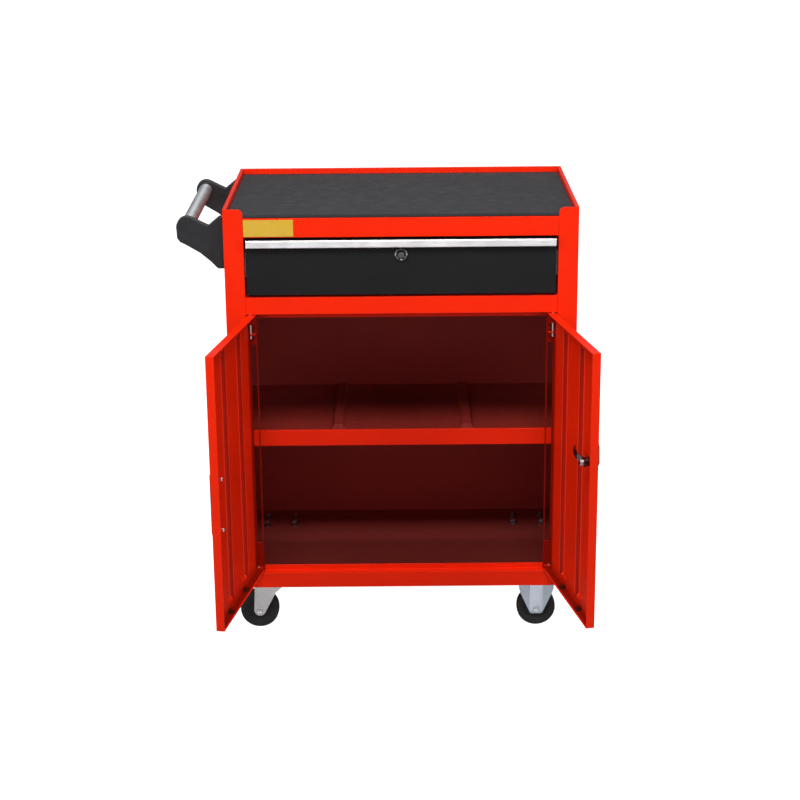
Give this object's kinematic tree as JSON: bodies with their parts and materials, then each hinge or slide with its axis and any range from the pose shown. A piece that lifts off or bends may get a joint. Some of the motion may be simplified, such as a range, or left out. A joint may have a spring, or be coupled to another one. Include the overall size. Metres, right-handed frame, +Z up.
{
  "type": "rolling tool box",
  "caption": "Rolling steel tool box on castors with a shallow top tray, a full-width drawer, a shelved cabinet behind paired hinged doors, and a side push handle.",
  "frame": {"origin": "on the floor under the middle of the footprint of the whole object, both doors open as stored", "axes": "+X across the width, away from the push handle; +Y from the front to the back; +Z up"},
  "size_m": [0.747, 0.6728, 0.838],
  "materials": {
    "red_enamel": "gloss enamel with a slight orange peel",
    "dark_enamel": "satin charcoal enamel",
    "rubber": "matt, ribbed, non-slip",
    "tyre": "matt",
    "black_plastic": "fine moulded grain",
    "aluminium": "satin anodised",
    "zinc": "bright zinc plate",
    "chrome": "polished",
    "yellow_plate": "gloss"
  },
  "bodies": {
    "cabinet": {"left_side_panel": "red_enamel", "right_side_panel": "red_enamel", "back_panel": "red_enamel", "floor_panel": "red_enamel", "header_rail": "red_enamel", "middle_rail": "red_enamel", "sill_rail": "red_enamel", "worktop_panel": "red_enamel", "rubber_mat": "rubber", "shelf": "red_enamel", "name_plate": "yellow_plate", "handle_bracket_front": "black_plastic", "handle_bracket_rear": "black_plastic", "handle_tube": "aluminium", "drawer_slide_outer_left": "zinc", "drawer_slide_outer_right": "zinc", "rigid_castor_bracket_front": "zinc", "rigid_castor_bracket_rear": "zinc", "rigid_castor_axle_front": "zinc", "rigid_castor_axle_rear": "zinc", "swivel_castor_plate_front": "zinc", "swivel_castor_plate_rear": "zinc"},
    "drawer": {"drawer_front": "dark_enamel", "drawer_box": "dark_enamel", "drawer_back": "dark_enamel", "drawer_liner": "dark_enamel", "drawer_pull": "aluminium", "drawer_lock_body": "chrome", "drawer_slide_inner_left": "zinc", "drawer_slide_inner_right": "zinc"},
    "slide_left": {"drawer_slide_middle_left": "zinc"},
    "slide_right": {"drawer_slide_middle_right": "zinc"},
    "drawer_lock": {"drawer_lock_plug": "chrome", "drawer_lock_cam": "zinc"},
    "left_door": {"left_door_panel": "red_enamel", "left_door_pull": "black_plastic", "left_door_top_pin": "zinc", "left_door_bottom_pin": "zinc", "pull_screw_upper": "zinc", "pull_screw_lower": "zinc"},
    "right_door": {"right_door_panel": "red_enamel", "right_door_top_pin": "zinc", "right_door_bottom_pin": "zinc", "door_lock_body": "zinc"},
    "door_lock": {"door_lock_lever": "black_plastic", "door_lock_cam": "zinc", "door_lock_nut": "zinc"},
    "door_key": {"door_lock_plug": "chrome"},
    "swivel_front": {"swivel_fork_front": "zinc", "swivel_castor_axle_front": "zinc"},
    "swivel_wheel_front": {"swivel_castor_wheel_front": "tyre"},
    "rigid_wheel_front": {"rigid_castor_wheel_front": "tyre"},
    "swivel_rear": {"swivel_fork_rear": "zinc", "swivel_castor_axle_rear": "zinc"},
    "swivel_wheel_rear": {"swivel_castor_wheel_rear": "tyre"},
    "rigid_wheel_rear": {"rigid_castor_wheel_rear": "tyre"}
  },
  "joints": [
    {"name": "drawer_slide", "type": "slide", "parent": "cabinet", "child": "drawer", "axis": [0, -1, 0], "range_m": [0, 0.33]},
    {"name": "slide_extension_left", "type": "slide", "parent": "cabinet", "child": "slide_left", "axis": [0, -1, 0], "range_m": [0, 0.165]},
    {"name": "slide_extension_right", "type": "slide", "parent": "cabinet", "child": "slide_right", "axis": [0, -1, 0], "range_m": [0, 0.165]},
    {"name": "drawer_lock_turn", "type": "hinge", "parent": "drawer", "child": "drawer_lock", "pos_m": [0.03251, -0.06865, 0.754], "axis": [0, -1, 0], "range_deg": [0, 90]},
    {"name": "left_door_swing", "type": "hinge", "parent": "cabinet", "child": "left_door", "pos_m": [-0.24399, -0.06415, 0.136], "axis": [0, 0, 1], "range_deg": [-10, 100.7]},
    {"name": "right_door_swing", "type": "hinge", "parent": "cabinet", "child": "right_door", "pos_m": [0.30901, -0.06415, 0.136], "axis": [0, 0, -1], "range_deg": [-10, 101.6]},
    {"name": "door_lock_turn", "type": "hinge", "parent": "right_door", "child": "door_lock", "pos_m": [0.36228, -0.30128, 0.4375], "axis": [0.9796, 0.2011, 0], "range_deg": [0, 166]},
    {"name": "door_key_turn", "type": "hinge", "parent": "door_lock", "child": "door_key", "pos_m": [0.36228, -0.30128, 0.4375], "axis": [0.9796, 0.2011, 0], "range_deg": [0, 90]},
    {"name": "swivel_turn_front", "type": "hinge", "parent": "cabinet", "child": "swivel_front", "pos_m": [-0.22149, -0.00865, 0.0909], "axis": [0, 0, 1], "continuous": true},
    {"name": "swivel_wheel_spin_front", "type": "hinge", "parent": "swivel_front", "child": "swivel_wheel_front", "pos_m": [-0.24849, -0.00865, 0.0375], "axis": [0, 1, 0], "continuous": true},
    {"name": "rigid_wheel_spin_front", "type": "hinge", "parent": "cabinet", "child": "rigid_wheel_front", "pos_m": [0.28901, -0.00865, 0.0375], "axis": [0, 1, 0], "continuous": true},
    {"name": "swivel_turn_rear", "type": "hinge", "parent": "cabinet", "child": "swivel_rear", "pos_m": [-0.22149, 0.26835, 0.0909], "axis": [0, 0, 1], "continuous": true},
    {"name": "swivel_wheel_spin_rear", "type": "hinge", "parent": "swivel_rear", "child": "swivel_wheel_rear", "pos_m": [-0.24849, 0.26835, 0.0375], "axis": [0, 1, 0], "continuous": true},
    {"name": "rigid_wheel_spin_rear", "type": "hinge", "parent": "cabinet", "child": "rigid_wheel_rear", "pos_m": [0.28901, 0.26835, 0.0375], "axis": [0, 1, 0], "continuous": true}
  ],
  "couplings": [
    {"joint": "slide_extension_left", "follows": "drawer_slide", "ratio": 0.5},
    {"joint": "slide_extension_right", "follows": "drawer_slide", "ratio": 0.5}
  ]
}
